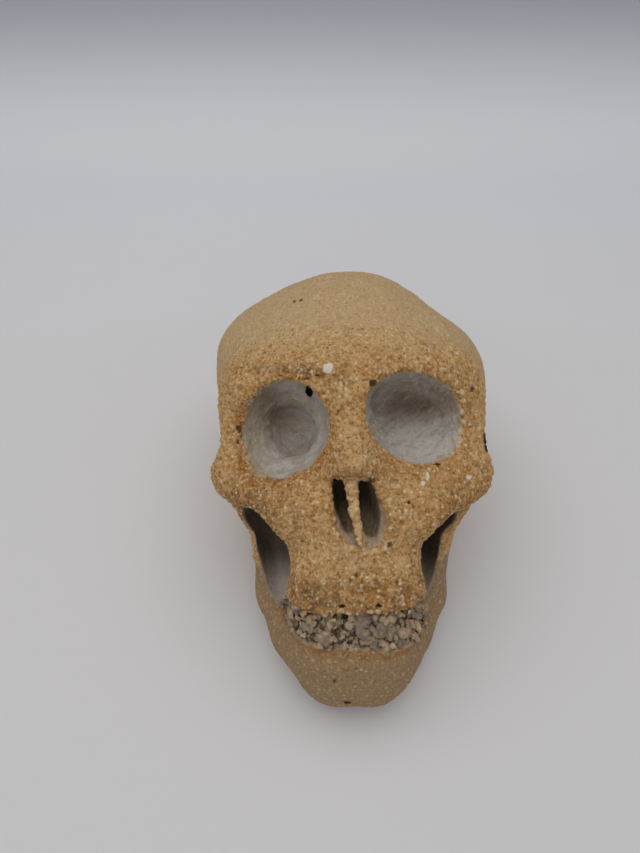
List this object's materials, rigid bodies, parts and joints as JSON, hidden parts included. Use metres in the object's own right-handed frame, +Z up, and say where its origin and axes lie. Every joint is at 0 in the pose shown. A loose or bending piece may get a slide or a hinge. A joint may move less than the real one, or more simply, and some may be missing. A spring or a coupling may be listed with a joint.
{
  "type": "ceramic skull figurine",
  "caption": "Small hand-modelled human-type skull in coarse grogged stoneware, lying back face up, with scooped eye sockets, a split nose hollow and a rough band of teeth.",
  "frame": {"origin": "on the table, under the middle of the skull's outline", "axes": "+Z up from the table, -Y towards the chin's side, +X to the skull's own left; the face looks up and towards -Y"},
  "size_m": [0.0656, 0.096, 0.0618],
  "materials": {
    "ochre_stoneware": "unglazed, matt, coarse grog",
    "grey_grog": "unglazed, matt, torn clay with large grog"
  },
  "bodies": {
    "root": {"braincase": "ochre_stoneware", "face": "ochre_stoneware", "cheekbone_right": "ochre_stoneware", "cheekbone_left": "ochre_stoneware", "upper_jaw": "ochre_stoneware", "nasal_septum": "ochre_stoneware", "tooth_band": "grey_grog", "lower_jaw": "ochre_stoneware"}
  },
  "joints": []
}
